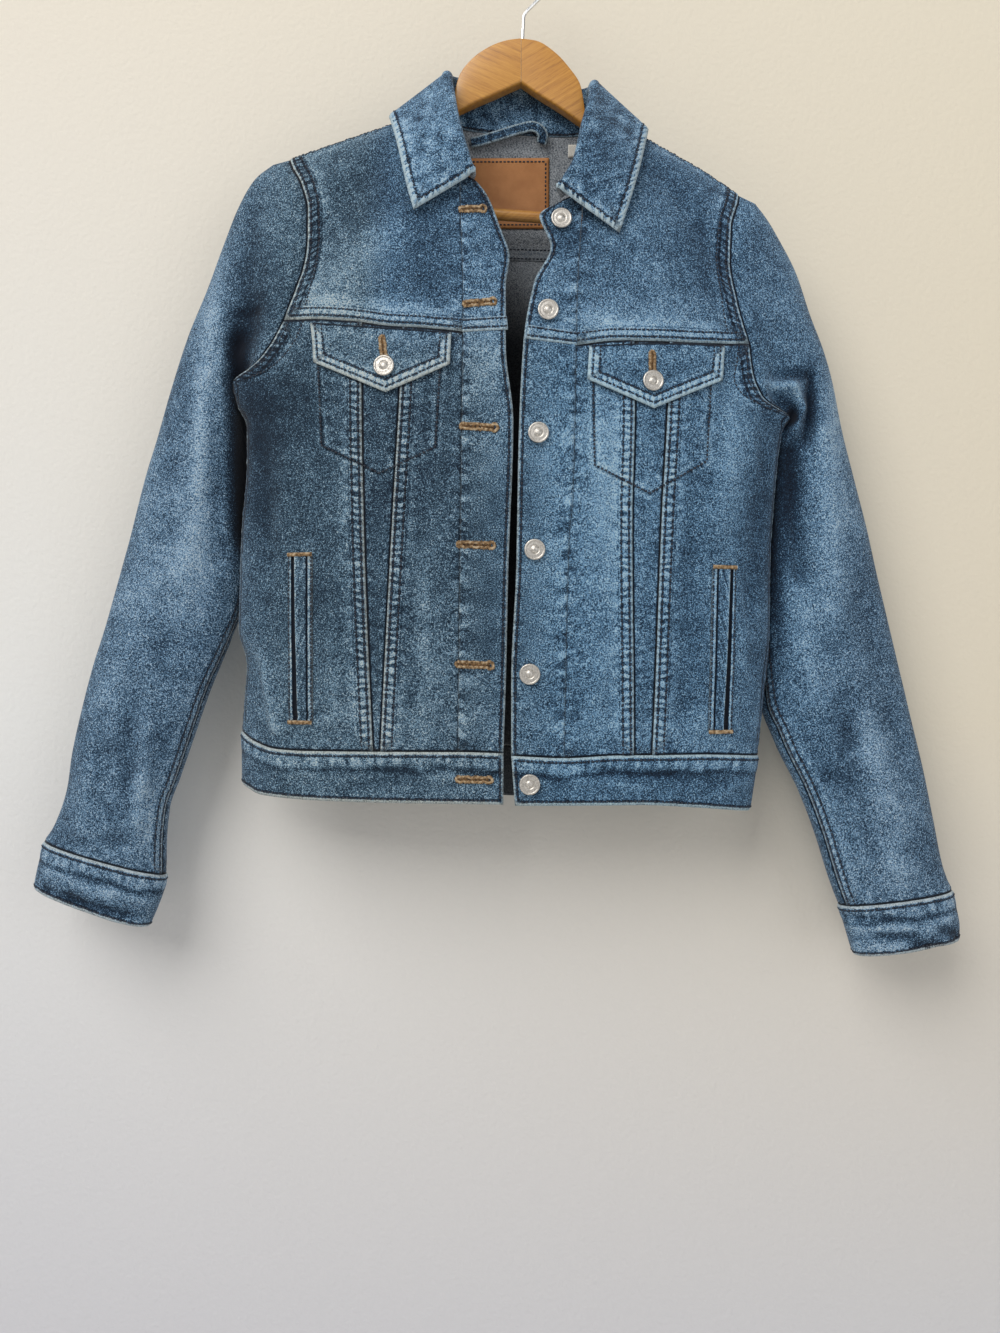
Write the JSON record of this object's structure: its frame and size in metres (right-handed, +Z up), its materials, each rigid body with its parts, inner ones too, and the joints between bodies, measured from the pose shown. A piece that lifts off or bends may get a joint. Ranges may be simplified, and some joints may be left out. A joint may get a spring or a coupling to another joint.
{
  "type": "denim jacket on a hanger",
  "caption": "Waist-length blue denim jacket with pointed collar, flap chest pockets, welt pockets and metal buttons, unbuttoned, on a wooden hanger with a wire hook.",
  "frame": {"origin": "inside top of the hanger's hook, where the rail carries it", "axes": "X to the right of the front view, Y from the front to the back, Z up"},
  "size_m": [0.7942, 0.0875, 0.863],
  "materials": {
    "denim": "washed indigo twill, matte",
    "washed_denim": "washed indigo twill with worn pale edges, matte",
    "button_nickel": "satin nickel-plated brass",
    "patch_leather": "plain tan, matte",
    "label_tape": "plain off-white woven tape",
    "hanger_wood": "satin varnished beech",
    "hook_steel": "polished steel wire"
  },
  "bodies": {
    "root": {"front_yoke_left": "denim", "front_yoke_right": "denim", "side_front_left": "denim", "side_front_right": "denim", "v_panel_left": "denim", "v_panel_right": "denim", "centre_front_left": "denim", "centre_front_right": "denim", "back_yoke": "denim", "back_panel": "denim", "sleeve_top_left": "denim", "sleeve_top_right": "denim", "sleeve_under_left": "denim", "sleeve_under_right": "denim", "placket_left": "washed_denim", "placket_right": "washed_denim", "waistband": "washed_denim", "collar": "washed_denim", "cuff_left": "washed_denim", "cuff_right": "washed_denim", "flap_left": "washed_denim", "flap_right": "washed_denim", "welt_left": "washed_denim", "welt_right": "washed_denim", "hanger_loop": "washed_denim", "button_1": "button_nickel", "button_2": "button_nickel", "button_3": "button_nickel", "button_4": "button_nickel", "button_5": "button_nickel", "button_6": "button_nickel", "flap_button_left": "button_nickel", "flap_button_right": "button_nickel", "neck_patch": "patch_leather", "label": "label_tape", "hanger_arm_left": "hanger_wood", "hanger_arm_right": "hanger_wood", "hanger_bar": "hanger_wood", "hanger_hook": "hook_steel"}
  },
  "joints": []
}
